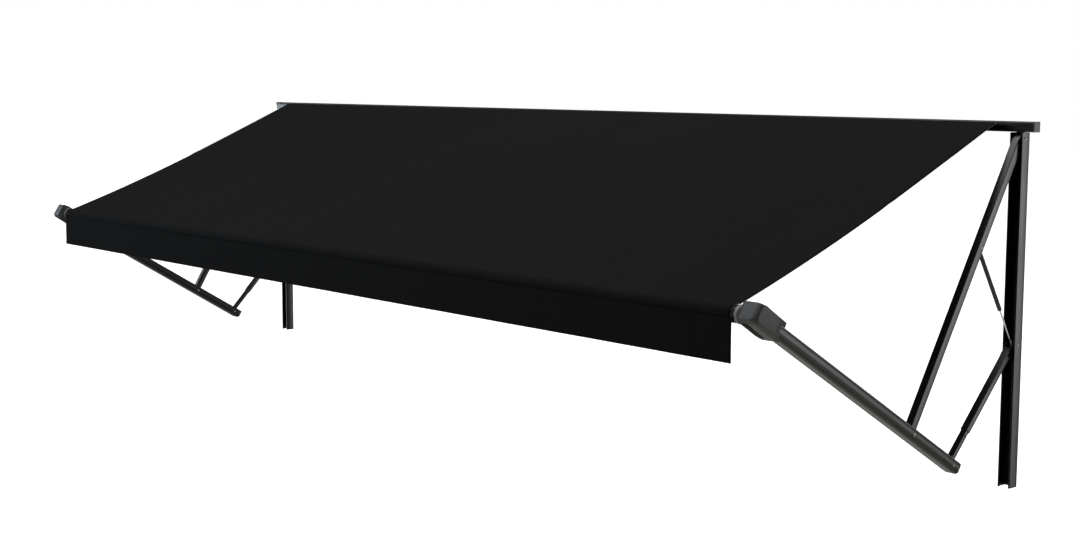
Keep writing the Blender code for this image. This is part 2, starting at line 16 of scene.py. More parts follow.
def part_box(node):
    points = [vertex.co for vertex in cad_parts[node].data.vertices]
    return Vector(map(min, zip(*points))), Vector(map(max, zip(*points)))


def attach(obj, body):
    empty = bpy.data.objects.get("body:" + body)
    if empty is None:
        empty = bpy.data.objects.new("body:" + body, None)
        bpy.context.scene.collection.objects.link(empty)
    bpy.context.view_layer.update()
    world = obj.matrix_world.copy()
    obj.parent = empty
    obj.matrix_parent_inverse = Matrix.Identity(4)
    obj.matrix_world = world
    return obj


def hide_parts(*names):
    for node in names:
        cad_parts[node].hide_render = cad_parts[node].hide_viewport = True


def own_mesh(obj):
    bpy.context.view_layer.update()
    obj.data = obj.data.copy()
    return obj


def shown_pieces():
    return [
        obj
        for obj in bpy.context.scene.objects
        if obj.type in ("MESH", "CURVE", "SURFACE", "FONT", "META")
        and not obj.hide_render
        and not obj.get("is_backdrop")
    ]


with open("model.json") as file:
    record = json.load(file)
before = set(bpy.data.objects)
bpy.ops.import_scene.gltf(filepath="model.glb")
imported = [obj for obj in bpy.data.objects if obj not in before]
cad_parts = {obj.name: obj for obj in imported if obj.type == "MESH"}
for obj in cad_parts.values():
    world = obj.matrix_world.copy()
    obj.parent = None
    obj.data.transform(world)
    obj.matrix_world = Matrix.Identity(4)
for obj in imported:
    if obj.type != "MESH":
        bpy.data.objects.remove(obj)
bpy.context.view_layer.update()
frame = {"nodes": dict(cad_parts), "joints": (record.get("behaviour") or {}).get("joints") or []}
joints = {joint["name"]: joint for joint in frame["joints"]}
print("nodes in the frame:", len(frame["nodes"]))

# %% [markdown]
# The side view does all the work on an awning: the arms swing in the YZ plane, and the left-hand
# hardware is the right-hand hardware moved along X. So each arm gets its own small frame with
# `along`, from one pivot to the next, and `out`, towards its closed front.

# %% Pivots and arm frames
def pivot(name):
    """The (y, z) of a joint's axis."""
    return np.array(joints[name]["pos_m"][1:], float)


def middle(node):
    """The (y, z) of the middle of a node's box."""
    low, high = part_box(node)
    return np.array([(low.y + high.y) / 2, (low.z + high.z) / 2])


class Arm:
    """A frame in the side plane: s runs along the arm, d runs out of its closed front."""

    def __init__(self, start, end, front=None):
        self.start = start
        self.length = float(np.linalg.norm(end - start))
        self.along = (end - start) / self.length
        self.out = np.array([-self.along[1], self.along[0]])
        if self.out[0] > 0:
            self.out = -self.out
        if front is not None:
            self.out = np.array(front)

    def place(self, s, d, x):
        """World points of arrays s, d and x: start + s along + d out, at x."""
        s, d, x = np.broadcast_arrays(s, d, x)
        side = self.start + s[..., None] * self.along + d[..., None] * self.out
        return np.stack([x, side[..., 0], side[..., 1]], axis=-1)


TOP_PIVOT = pivot("awning_fold")
ELBOW = pivot("elbow")
LOW_PIVOT = pivot("sleeve_swing")
STRUT_TOP = pivot("strut_swing")
ROLLER = pivot("roller_turn")
FOOT = middle("foot_pin_right_outer")
arm_low, arm_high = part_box("upper_arm_right")
ARM_X = (arm_low.x + arm_high.x) / 2
upper = Arm(TOP_PIVOT, ELBOW)
lower = Arm(LOW_PIVOT, FOOT)
main = Arm(ELBOW, 2 * ELBOW - FOOT)
main.out = -np.abs(main.along[::-1])
post_foot, post_head = (np.array([0.0, corner.z]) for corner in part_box("post_right"))
post_line = Arm(post_head, post_foot, (-1.0, 0.0))
SIDES = ((1, "right"), (-1, "left"))
print("arm plane at x =", round(ARM_X, 4), "| upper arm", round(upper.length, 3), "m")

# %% [markdown]
# Every new surface is a grid. A grid of points with faces between neighbours makes a sheet; joined
# on itself it makes a tube; and a fan or one flat face closes an end. One function does all three,
# so the outward side is decided in one place.

# %% Grids into meshes
def grid_faces(rows, columns, wrap):
    """Quads of a rows by columns grid; with wrap the last column joins the first."""
    span = columns if wrap else columns - 1
    r, c = np.meshgrid(np.arange(rows - 1), np.arange(span), indexing="ij")
    after = (c + 1) % columns
    here, above = r * columns, (r + 1) * columns
    quads = np.stack([here + c, here + after, above + after, above + c], -1)
    return quads.reshape(-1, 4).tolist()


def make_piece(name, points, wrap=True, caps=True, sharp=32.0):
    """A mesh object from a (rows, columns, 3) grid, with its sides turned outwards if it is closed."""
    rows, columns = points.shape[:2]
    faces = grid_faces(rows, columns, wrap)
    if wrap and caps:
        faces.append(list(range(columns))[::-1])
        faces.append(list(range((rows - 1) * columns, rows * columns)))
    mesh = bpy.data.meshes.new(name)
    mesh.from_pydata(points.reshape(-1, 3).tolist(), [], faces)
    work = bmesh.new()
    work.from_mesh(mesh)
    bmesh.ops.remove_doubles(work, verts=work.verts, dist=1e-6)
    if wrap and caps:
        bmesh.ops.recalc_face_normals(work, faces=work.faces)
    work.to_mesh(mesh)
    work.free()
    mesh.shade_smooth()
    mesh.set_sharp_from_angle(angle=math.radians(sharp))
    piece = bpy.data.objects.new(name, mesh)
    bpy.context.scene.collection.objects.link(piece)
    return piece


def join_pieces(name, pieces):
    """Several closed shells kept as one object, such as the four screws of a cover."""
    work = bmesh.new()
    for piece in pieces:
        work.from_mesh(piece.data)
    mesh = bpy.data.meshes.new(name)
    work.to_mesh(mesh)
    work.free()
    mesh.shade_smooth()
    mesh.set_sharp_from_angle(angle=math.radians(32))
    for piece in pieces:
        bpy.data.objects.remove(piece, do_unlink=True)
    joined = bpy.data.objects.new(name, mesh)
    bpy.context.scene.collection.objects.link(joined)
    return joined


def rounded_loop(points, radii, steps=5):
    """A closed outline whose corners are arcs: each corner is swapped for centre + r (cos, sin).

    The centre lies on the corner's bisector at r / sin(half angle), and the arc sweeps
    pi minus the corner's angle between the two tangent points.
    """
    points = np.array(points, float)
    loop = []
    for index, radius in enumerate(radii):
        corner = points[index]
        if radius == 0:
            loop.append(corner[None])
            continue
        back = points[index - 1] - corner
        ahead = points[(index + 1) % len(points)] - corner
        back, ahead = back / np.linalg.norm(back), ahead / np.linalg.norm(ahead)
        half = math.acos(np.clip(back @ ahead, -1, 1)) / 2
        bisector = (back + ahead) / np.linalg.norm(back + ahead)
        centre = corner + bisector * radius / math.sin(half)
        first = corner + back * radius / math.tan(half) - centre
        last = corner + ahead * radius / math.tan(half) - centre
        t = np.linspace(0, 1, steps + 1)[:, None]
        angle = math.acos(np.clip(first @ last / radius**2, -1, 1))
        loop.append(centre + (np.sin((1 - t) * angle) * first + np.sin(t * angle) * last) / math.sin(angle))
    return np.concatenate(loop)


def carried(name, arm, stations, section, x, sharp=32.0):
    """A section of (across, out) points carried along an arm.

    section(s) gives the outline at each station, so an end can taper: point = start + s along
    + out * d, at x + across.
    """
    rings = np.stack([section(s) for s in stations])
    s = np.array(stations)[:, None]
    return make_piece(name, arm.place(s, rings[..., 1], x + rings[..., 0]), sharp=sharp)


def turned(name, centre, profile, segments=32):
    """A profile of (x, radius) spun about an X axis: y, z = centre + radius (cos t, sin t)."""
    profile = np.array(profile, float)
    t = np.linspace(0, 2 * np.pi, segments, endpoint=False)
    radius = profile[:, 1:]
    x = np.broadcast_to(profile[:, :1], (len(profile), segments))
    points = np.stack([x, centre[0] + radius * np.cos(t), centre[1] + radius * np.sin(t)], -1)
    return make_piece(name, points, caps=bool(profile[0, 1] > 0))


def turned_along(name, arm, x, profile, segments=24):
    """A profile of (distance, radius) spun about the arm's own line."""
    profile = np.array(profile, float)
    t = np.linspace(0, 2 * np.pi, segments, endpoint=False)
    points = arm.place(profile[:, :1], profile[:, 1:] * np.sin(t), x + profile[:, 1:] * np.cos(t))
    return make_piece(name, points, caps=bool(profile[0, 1] > 0))


# %% [markdown]
# ## Finishes
# A finish is a small expression. `Value` wraps one socket and turns `+`, `-` and `*` into Math
# nodes, so a mask can be written as it is thought of. Colours are mixed by a Mix node.

# %% Shader maths
class Value:
    """A number socket that knows how to be added, subtracted and multiplied."""

    def __init__(self, paint, socket):
        self.paint = paint
        self.socket = socket

    def _math(self, operation, *terms):
        return self.paint.node("ShaderNodeMath", {"operation": operation}, dict(enumerate(terms)))

    def __add__(self, other):
        return self._math("ADD", self, other)

    def __sub__(self, other):
        return self._math("SUBTRACT", self, other)

    def __rsub__(self, other):
        return self._math("SUBTRACT", other, self)

    def __mul__(self, other):
        return self._math("MULTIPLY", self, other)

    def sine(self):
        return self._math("SINE", self)

    def between(self, low, high):
        """0 below low, 1 above high, smooth in between."""
        settings = {"interpolation_type": "SMOOTHSTEP"}
        inputs = {"Value": self, "From Min": low, "From Max": high}
        return self.paint.node("ShaderNodeMapRange", settings, inputs)

    __radd__ = __add__
    __rmul__ = __mul__


class Nodes:
    """A node tree and one way to add to it: type, settings, then values or links."""

    def __init__(self, tree):
        self.tree = tree

    def node(self, kind, settings=None, inputs=None, output=0):
        made = self.tree.nodes.new(kind)
        for key, value in (settings or {}).items():
            setattr(made, key, value)
        for key, value in (inputs or {}).items():
            if isinstance(value, Value):
                self.tree.links.new(value.socket, made.inputs[key])
            else:
                made.inputs[key].default_value = value
        return Value(self, made.outputs[output])

    def mix(self, share, low, high):
        settings = {"data_type": "RGBA"}
        return self.node("ShaderNodeMix", settings, {0: share, 6: (*low, 1), 7: (*high, 1)}, output=2)


class Finish(Nodes):
    """A material with one Principled shader and short ways to feed it."""

    def __init__(self, name, **constants):
        self.material = bpy.data.materials.new(name)
        self.material.use_nodes = True
        super().__init__(self.material.node_tree)
        self.shader = self.tree.nodes["Principled BSDF"]
        for socket, value in constants.items():
            self.shader.inputs[socket.replace("_", " ")].default_value = value

    def place(self, scale=(1, 1, 1)):
        """Object coordinates in metres, stretched by scale."""
        here = self.node("ShaderNodeTexCoord", output="Object")
        return self.node("ShaderNodeMapping", {}, {"Vector": here, "Scale": scale})

    def noise(self, scale, detail=2.0, stretch=(1, 1, 1), roughness=0.5):
        inputs = {"Vector": self.place(stretch), "Scale": scale, "Detail": detail, "Roughness": roughness}
        return self.node("ShaderNodeTexNoise", {}, inputs)

    def layer(self, name):
        """The u and v of a stored layer."""
        here = self.node("ShaderNodeUVMap", {"uv_map": name})
        return [self.node("ShaderNodeSeparateXYZ", {}, {0: here}, output=axis) for axis in ("X", "Y")]

    def feed(self, socket, value):
        self.tree.links.new(value.socket, self.shader.inputs[socket])

    def bump(self, height, distance, strength=1.0):
        inputs = {"Height": height, "Distance": distance, "Strength": strength}
        self.feed("Normal", self.node("ShaderNodeBump", {}, inputs))


# %% [markdown]
# The extrusions are powder coated. The coat shows a very fine orange peel and a little dust in the
# colour; it stays black head-on and shines at the sides.

# %% Powder coat
def powder_coat():
    coat = Finish("satin_powder_coat", Metallic=0.0, Specular_IOR_Level=0.5)
    cloud = coat.noise(7.0, 3.0)
    speck = coat.noise(900.0, 1.0)
    peel = coat.noise(420.0, 2.0)
    dust = cloud * 0.7 + speck * 0.3
    coat.feed("Base Color", coat.mix(dust, (0.0036, 0.0037, 0.0040), (0.0062, 0.0062, 0.0064)))
    coat.feed("Roughness", cloud * 0.10 + speck * 0.06 + 0.24)
    coat.bump(peel, 0.00035, 0.35)
    return coat.material


# %% [markdown]
# The heads and caps are moulded. A spark-eroded mould leaves a fine even grain, and the colour is
# a touch cooler than the coat's.

# %% Moulded plastic
def moulded(name, low, high, shine=0.55):
    plastic = Finish(name, Metallic=0.0, Specular_IOR_Level=shine)
    cloud = plastic.noise(11.0, 3.0)
    grain = plastic.noise(1300.0, 2.0)
    plastic.feed("Base Color", plastic.mix(cloud, low, high))
    plastic.feed("Roughness", cloud * 0.08 + grain * 0.08 + 0.42)
    plastic.bump(grain, 0.0003, 0.45)
    return plastic.material


# %% [markdown]
# The canvas is a tight plain weave. Threads are about half a millimetre wide, so warp and weft are
# two sine waves multiplied into a small basket bump; a much larger, weaker noise makes the cloth's
# slight unevenness. The pattern follows the cloth through its own UV layer, measured in metres.

# %% Canvas
THREADS = 2 * math.pi / 0.0011


def canvas(name, low, high):
    cloth = Finish(name, Metallic=0.0, Specular_IOR_Level=0.06)
    u, v = cloth.layer("cloth")
    weave = (u * THREADS).sine() * (v * THREADS).sine() * 0.5 + 0.5
    slub = cloth.noise(260.0, 2.0, (0.12, 1, 1))
    cloud = cloth.noise(1.3, 3.0)
    shade = weave * 0.25 + slub * 0.35 + cloud * 0.40
    cloth.feed("Base Color", cloth.mix(shade, low, high))
    cloth.feed("Roughness", 0.94 - slub * 0.10)
    cloth.bump(weave * 0.6 + slub * 0.5, 0.00030, 0.6)
    return cloth.material


# %% [markdown]
# Bolts and pins are zinc plated with fine turning rings, the strut rods are hard chromed, and the
# bearing block, gear case and motor are plain mill-finish alloy with lengthwise streaks.

# %% Metals
def metal(name, low, high, roughness, streak, spread=0.12):
    bare = Finish(name, Metallic=1.0)
    cloud = bare.noise(30.0, 2.0)
    lines = bare.noise(300.0, 2.0, streak)
    bare.feed("Base Color", bare.mix(cloud * 0.5 + lines * 0.5, low, high))
    bare.feed("Roughness", lines * spread + roughness)
    bare.bump(lines, 0.00015, 0.3)
    return bare.material


COAT = powder_coat()
PLASTIC = moulded("grained_moulding", (0.0440, 0.0445, 0.0450), (0.0560, 0.0565, 0.0570))
# Near black with little shine, for the head's slot plates: painted shade in place of recesses.
SLOT_SHADE = moulded("painted_slot_shade", (0.0030, 0.0030, 0.0030), (0.0050, 0.0050, 0.0050), 0.05)
PALE_CAP = moulded("pale_moulding", (0.190, 0.190, 0.190), (0.220, 0.220, 0.220))
CANVAS = canvas("black_canvas", (0.0050, 0.0050, 0.0051), (0.0080, 0.0080, 0.0082))
# Pale canvas on the cloth's side edges: a painted highlight of light caught along the thin edge.
EDGE_HIGHLIGHT = canvas("canvas_edge_highlight", (0.34, 0.34, 0.34), (0.50, 0.50, 0.50))
ZINC = metal("zinc_plate", (0.34, 0.34, 0.33), (0.46, 0.46, 0.45), 0.28, (1, 0.1, 0.1))
CHROME = metal("hard_chrome", (0.58, 0.58, 0.58), (0.66, 0.66, 0.66), 0.20, (0.1, 1, 1), 0.06)
ALLOY = metal("mill_alloy", (0.38, 0.38, 0.39), (0.48, 0.48, 0.49), 0.36, (0.02, 1, 1))
print("finishes:", len(bpy.data.materials))


def finish(piece, material, body, slot, *nodes):
    """Give a piece its finish and its body, and hide the frame's nodes that it stands for. The slot argument
    is not used.
    """
    piece.data.materials.clear()
    piece.data.materials.append(material)
    if nodes:
        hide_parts(*nodes)
    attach(piece, body)
    return piece


# %% [markdown]
# ## Studio
# A white dome with a soft bright side behind the right-hand post and a dim front, a pale floor well
# below the awning, and a camera with a moderate lens at the right-hand front corner.

# %% Dome, floor and camera
scene = bpy.context.scene
scene.view_settings.view_transform = "Standard"
FLOOR_Z = -3.0
RIGHT_WALL, LEFT_GLOW, CEILING, GROUND, BASE = 4.1, 7.0, 1.4, 0.60, 0.040


def dome():
    """Radiance = base + right wall * height profile + left glow + ceiling + ground.

    Each lobe is a smooth step of the direction's dot product with the lobe's own direction.
    """
    world = bpy.data.worlds.new("studio_dome")
    world.use_nodes = True
    scene.world = world
    sky = Nodes(world.node_tree)
    ray = sky.node("ShaderNodeTexCoord", output="Generated")

    def towards(direction):
        inputs = {0: ray, 1: tuple(Vector(direction).normalized())}
        return sky.node("ShaderNodeVectorMath", {"operation": "DOT_PRODUCT"}, inputs, output="Value")

    height = towards((0, 0, 1))
    level = height.between(-0.27, -0.09) * 0.65 + 0.35
    right_wall = towards((0.66, 0.75, -0.04)).between(0.950, 0.997) * level * height.between(0.75, 0.2)
    left_glow = towards((-0.90, -0.42, 0.10)).between(0.945, 0.99)
    ceiling = height.between(0.72, 0.93)
    ground = height.between(-0.30, -0.60)
    light = right_wall * RIGHT_WALL + ceiling * CEILING + ground * GROUND + BASE
    tint = sky.mix(level, (1.0, 0.98, 0.86), (1, 1, 1))
    plain = sky.node("ShaderNodeBackground", {}, {"Color": tint, "Strength": light})
    cool = (0.84, 0.95, 1.06, 1)
    blue = sky.node("ShaderNodeBackground", {}, {"Color": cool, "Strength": left_glow * LEFT_GLOW})
    both = sky.node("ShaderNodeAddShader", {}, {0: plain, 1: blue})
    white = sky.node("ShaderNodeBackground", {}, {"Color": (1, 1, 1, 1)})
    seen = sky.node("ShaderNodeLightPath", output="Is Camera Ray")
    pick = sky.node("ShaderNodeMixShader", {}, {0: seen, 1: both, 2: white})
    sky.tree.links.new(pick.socket, sky.tree.nodes["World Output"].inputs[0])


def floor():
    t = np.linspace(0, 2 * np.pi, 97)[:-1]
    r = np.array([0.001, 10.0, 60.0])[:, None]
    points = np.stack([r * np.cos(t), r * np.sin(t), np.full((3, 96), FLOOR_Z)], -1)
    slab = make_piece("floor", points, caps=False)
    slab.data.flip_normals()
    pale = Finish("pale_floor", Roughness=0.9, Specular_IOR_Level=0.1, Emission_Strength=0.85)
    pale.shader.inputs["Emission Color"].default_value = (1, 1, 1, 1)
    pale.feed("Base Color", pale.mix(pale.noise(0.4, 3.0), (0.86, 0.86, 0.86), (0.90, 0.90, 0.90)))
    slab.data.materials.append(pale.material)
    slab.visible_glossy = False
    slab.visible_diffuse = False
    slab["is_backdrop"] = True


def camera(position, yaw, pitch, roll, lens):
    """Right = (cos yaw, sin yaw, 0), ahead is turned down by pitch, and roll tips the frame."""
    ahead = Vector((-math.sin(yaw) * math.cos(pitch), math.cos(yaw) * math.cos(pitch), -math.sin(pitch)))
    level = Vector((math.cos(yaw), math.sin(yaw), 0))
    up = level.cross(ahead)
    right = math.cos(roll) * level + math.sin(roll) * up
    up = right.cross(ahead)
    data = bpy.data.cameras.new("view")
    data.lens = lens
    data.clip_end = 200
    eye = bpy.data.objects.new("view", data)
    eye.matrix_world = Matrix((
        (right.x, up.x, -ahead.x, position[0]), (right.y, up.y, -ahead.y, position[1]),
        (right.z, up.z, -ahead.z, position[2]), (0, 0, 0, 1)))
    scene.collection.objects.link(eye)
    scene.camera = eye


def soft_light(name, spot, aim, size, power):
    data = bpy.data.lights.new(name, "AREA")
    data.shape = "RECTANGLE"
    data.size, data.size_y = size
    data.energy = power
    lamp = bpy.data.objects.new(name, data)
    lamp.location = spot
    lamp.rotation_euler = (Vector(aim) - Vector(spot)).to_track_quat("-Z", "Y").to_euler()
    lamp.visible_camera = False
    scene.collection.objects.link(lamp)


dome()
floor()
camera((7.5666, -6.7242, 0.2231), math.radians(49.327), math.radians(6.702), math.radians(0.191), 54.815)
soft_light("top_softbox", (0.5, -1.6, 6.0), (0, -1.0, -0.4), (9.0, 3.5), 330)
print("camera lens", scene.camera.data.lens)

# %% [markdown]
# ## Cloth
# The canopy is one sheet. Seen from the side it leaves the rail's bead slot, runs straight to a
# slack bend, then sags a little on its way to the roller and goes over it. The side line is one
# list of points that every column of the grid shares; between the two sides the cloth dips by a
# few millimetres, more in the slack part, and shallow pulls run down from the rail. The cloth draws
# in sideways by x * share * t^2 towards the roller, where t is the part of the length passed.

# %% Canopy
CLOTH_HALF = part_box("canopy")[1].x
BEAD = np.array([-0.0500, 0.0165])
SLOT_EXIT = BEAD + np.array([-0.0085, 0.0])
BEND = np.array([-0.862, -0.3333])
RUN_SLOPE = math.atan(0.357)
WRAP_RADIUS = 0.0396
THICK = 0.0009
HEM = 0.028
DRAWN_IN = 0.0015
SAG = 0.010


def side_line():
    """Points (y, z) of the canopy's underside and how slack the cloth is at each.

    Straight: slot + t (bend - slot). Sagging: bend + t (touch - bend) - 4 sag t (1 - t).
    Roller: centre + R (cos a, sin a).
    """
    touch = ROLLER + WRAP_RADIUS * np.array([math.sin(RUN_SLOPE), math.cos(RUN_SLOPE)])
    t = np.linspace(0, 1, 60)[:, None]
    first = SLOT_EXIT + t * (BEND - SLOT_EXIT)
    first[:, 1:] -= 0.0016 * np.sin(np.pi * t)
    last = BEND + t * (touch - BEND)
    last[:, 1:] -= SAG * 4 * t * (1 - t)
    a = np.linspace(math.pi / 2 - RUN_SLOPE, math.pi + math.radians(13), 24)[:, None]
    over = ROLLER + WRAP_RADIUS * np.concatenate([np.cos(a), np.sin(a)], 1)
    line = np.concatenate([first, last[1:], over[1:]])
    slack = np.concatenate([0.25 * np.sin(np.pi * t[:, 0]), np.sin(np.pi * t[1:, 0]), np.zeros(23)])
    bend_soft = np.exp(-((line[:, 0] - BEND[0]) / 0.03) ** 2)
    line[:, 1] += 0.0016 * bend_soft * (slack >= 0)
    return line, slack


def sheet_grid(x, line):
    """Points at every x of a (y, z) line that may differ from column to column."""
    return np.stack([np.broadcast_to(x, line.shape[:2]), line[..., 0], line[..., 1]], -1)


def length_along(line):
    """Distance of each point from the first, along the line."""
    return np.concatenate([[0], np.cumsum(np.linalg.norm(np.diff(line, axis=0), axis=1))])


def thick_sheet(name, top, under, u, v):
    """A closed thin sheet: the lower grid and the upper grid joined round all four edges.

    The grid wraps: rows go down the top and come back up the underside, so the two ends are
    folded shut. The layer called cloth holds the distance across and along in metres.
    """
    loop = np.concatenate([top, under[::-1]])
    piece = make_piece(name, loop.transpose(1, 0, 2), wrap=True, caps=False, sharp=50.0)
    work = bmesh.new()
    work.from_mesh(piece.data)
    bmesh.ops.holes_fill(work, edges=[edge for edge in work.edges if edge.is_boundary], sides=0)
    bmesh.ops.triangulate(work, faces=[face for face in work.faces if len(face.verts) > 4])
    bmesh.ops.recalc_face_normals(work, faces=work.faces)
    work.to_mesh(piece.data)
    work.free()
    add_cloth_layer(piece, u, v)
    return piece


def add_cloth_layer(piece, across, along):
    """Store (across(point), along(point)) on every face corner."""
    mesh = piece.data
    points = np.empty(len(mesh.vertices) * 3)
    mesh.vertices.foreach_get("co", points)
    points = points.reshape(-1, 3)
    corner = np.empty(len(mesh.loops), int)
    mesh.loops.foreach_get("vertex_index", corner)
    layer = mesh.uv_layers.new(name="cloth")
    values = np.stack([across(points), along(points)], -1)[corner]
    layer.data.foreach_set("uv", values.astype(np.float32).ravel())


def paint_edge_highlight(piece):
    """The two side edges, whose normals lie along X, get the pale canvas: a painted highlight of the light
    along the thin edge.
    """
    piece.data.materials.append(CANVAS)
    piece.data.materials.append(EDGE_HIGHLIGHT)
    normals = np.empty(len(piece.data.polygons) * 3)
    piece.data.polygons.foreach_get("normal", normals)
    side = np.abs(normals.reshape(-1, 3)[:, 0]) > 0.9
    piece.data.polygons.foreach_set("material_index", side.astype(np.int32))


def normals_of(line):
    """Unit normals of a side line, on its upper side."""
    run = np.gradient(line, axis=0)
    run /= np.linalg.norm(run, axis=1)[:, None]
    return np.stack([run[:, 1], -run[:, 0]], -1)


line, slack = side_line()
upward = normals_of(line)
canopy_length = length_along(line)[-1]
x = np.linspace(-CLOTH_HALF, CLOTH_HALF, 260)
edge = np.clip((CLOTH_HALF - np.abs(x)) / CLOTH_HALF, 0, 1)
pull = 0.0012 * np.sin(9.0 * x + 0.7) + 0.0009 * np.sin(23.0 * x + 1.9)
dip = slack[:, None] * (0.004 * edge**0.5 + pull * edge**0.3)
centre_line = line[:, None, :] + upward[:, None, :] * (0.0010 - dip[..., None])
hem = 1.0 + 1.2 * (CLOTH_HALF - np.abs(x) < HEM)
half_thick = upward[:, None, :] * (THICK * hem[None, :, None]) / 2
drawn_in = x * (1 - DRAWN_IN * (length_along(line) / canopy_length)[:, None] ** 2)
upper_side = sheet_grid(drawn_in, centre_line + half_thick)
under_side = sheet_grid(drawn_in, centre_line - half_thick)
canopy = thick_sheet("canopy_cloth", upper_side, under_side, lambda p: p[:, 0], lambda p: -1.1 * p[:, 1])
paint_edge_highlight(canopy)
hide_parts("canopy")
print("canopy runs", round(canopy_length, 3), "m from the rail, faces:", len(canopy.data.polygons))

# %% [markdown]
# A wound roller is a spiral, and only its last turn is seen: a cylinder whose radius grows by one
# thickness of cloth in a turn, with the wound edges at its ends. The valance hangs from a bead in
# the roller's front as its own strip. It waves slightly, is doubled at the foot and has a flat
# weight bar in the hem.

# %% Wound cloth and valance
TUBE_SKIN = 0.0380


def wound_cloth():
    """R(a) = R0 + thickness * a / (2 pi) outside and a plain circle inside, joined by rings at both ends."""
    a = np.linspace(0, 2 * np.pi, 72, endpoint=False)
    outer = TUBE_SKIN + 0.0001 + THICK * a / (2 * np.pi)
    inner = np.full(len(a), TUBE_SKIN)
    x = np.linspace(-CLOTH_HALF, CLOTH_HALF, 60)
    across = np.concatenate([x, x[-1:], x[:1], x[:1]])[:, None]
    radius = np.concatenate([np.tile(outer, (len(x), 1)), [inner, inner, outer]])
    points = np.stack([across + 0 * a, ROLLER[0] + radius * np.cos(a), ROLLER[1] + radius * np.sin(a)], -1)
    piece = make_piece("wound_cloth_turns", points, caps=False, sharp=50.0)
    add_cloth_layer(piece, lambda p: p[:, 0],
                    lambda p: 0.039 * np.arctan2(p[:, 2] - ROLLER[1], p[:, 1] - ROLLER[0]))
    return piece


VALANCE_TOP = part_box("valance")[1].z
VALANCE_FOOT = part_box("valance")[0].z
VALANCE_Y = ROLLER[0] - 0.0405
drop = VALANCE_TOP - VALANCE_FOOT
v = np.linspace(0, 1, 40)[:, None]
x = np.linspace(-CLOTH_HALF, CLOTH_HALF, 420)
wave = 0.0007 * np.sin(6.3 * x) + 0.0005 * np.sin(17.0 * x + 1.0)
middle_y = VALANCE_Y + wave * v
hem_share = (v > 1 - 0.024 / drop) * 1.0
thickness = THICK * (1 + 1.3 * hem_share)
z = VALANCE_TOP - drop * v + 0 * x
front = np.stack([x + 0 * v, middle_y - thickness / 2, z], -1)
back = np.stack([x + 0 * v, middle_y + thickness / 2, z], -1)
valance = thick_sheet("valance_cloth", front, back, lambda p: p[:, 0], lambda p: p[:, 2])
paint_edge_highlight(valance)
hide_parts("valance")
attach(valance, "roller")
wound = wound_cloth()
wound.data.materials.append(CANVAS)
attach(wound, "roller")
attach(canopy, "wall_frame")
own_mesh(canopy)

# %% [markdown]
# ## Extrusions
# Channels are one outline of (across, out) points: the outer skin, then the inner skin back. The
# outline changes along the arm only near its ends, where the closed front is rounded off.

# %% Channel outlines
def channel(half, back, front, wall, corner):
    """A U section: down one side, round the closed front, up the other, and back inside."""
    inner = half - wall
    outer = rounded_loop([(-half, -back), (-half, front), (half, front), (half, -back)],
                         [0.0006, corner, corner, 0.0006])
    inside = rounded_loop([(inner, -back), (inner, front - wall), (-inner, front - wall), (-inner, -back)],
                          [0.0006, max(corner - wall, 0.0008), max(corner - wall, 0.0008), 0.0006])
    return np.concatenate([outer, inside])


def nose(s, start, length, drop):
    """Quarter ellipse: how far the front is drawn in at s, drop at the very end and 0 after length."""
    t = np.clip((s - start) / length, 0, 1)
    return drop * (1 - math.sqrt(1 - (1 - t) ** 2))


def tapered(outline, back, front, s, ends):
    """Scale the depth of an outline so that its front follows the noses at both ends."""
    drawn = sum(nose(at, 0, length, drop) for at, length, drop in
                ((abs(s - end), length, drop) for end, length, drop in ends))
    scale = (front + back - drawn) / (front + back)
    made = outline.copy()
    made[:, 1] = -back + (outline[:, 1] + back) * scale
    return made


def stations(start, end, first, last, steps=9):
    """Places along an arm, close together in the first and last lengths where the ends curve."""
    ease = 1 - np.cos(np.linspace(0, np.pi / 2, steps))
    middle = np.linspace(start + first, end - last, 14)[1:-1]
    return np.concatenate([start + first * ease, middle, end - last * ease[::-1]])


UPPER_SECTION = channel(0.019, 0.018, 0.0222, 0.002, 0.0032)


def upper_arm(side, label):
    start, end = -0.024, upper.length + 0.017
    ends = ((start, 0.052, 0.026), (end, 0.017, 0.016))
    piece = carried("upper_arm_skin_" + label, upper, stations(start, end, 0.052, 0.017),
                    lambda s: tapered(UPPER_SECTION, 0.018, 0.0222, s, ends), side * ARM_X)
    return finish(piece, COAT, "upper_arms", "powder_coat", "upper_arm_" + label)


# %% [markdown]
# The main arm is deeper and wider. Its sides have a rim along the open back, a fine groove, a flat
# band and a facet that leans in by six degrees before the well-rounded front.

# %% Main arms
MAIN_HALF, MAIN_BACK, MAIN_FRONT, MAIN_WALL = 0.0335, 0.028, 0.029, 0.003
MAIN_END, MAIN_TOP = -0.396, 1.10


def main_section():
    """Half an outline, mirrored: rim, groove, flat band, a facet that leans in, then the arc."""
    h = MAIN_HALF
    groove = h - 0.0030
    rim = [(h, -MAIN_BACK), (h, -0.0212), (groove, -0.0206), (groove, -0.0174), (h, -0.0168), (h, -0.0160),
           (h, -0.0008), (h, 0.0000)]
    t = np.linspace(0.0, 1.0, 5)[1:]
    facet = np.stack([h - 0.0018 * t, 0.0160 * t], -1)
    a = np.linspace(0.12, np.pi / 2, 9)[1:]
    arc = np.stack([h - 0.0147 + 0.0130 * np.cos(a), 0.01426 + 0.01474 * np.sin(a)], -1)
    half = np.concatenate([rim, facet, arc])
    mirrored = half[::-1] * (-1, 1)
    inner = h - MAIN_WALL
    floor_at = MAIN_FRONT - MAIN_WALL
    inside = rounded_loop([(inner, -MAIN_BACK), (inner, floor_at), (-inner, floor_at), (-inner, -MAIN_BACK)],
                          [0.0006, 0.014, 0.014, 0.0006])
    return np.concatenate([half, mirrored, inside[::-1]])


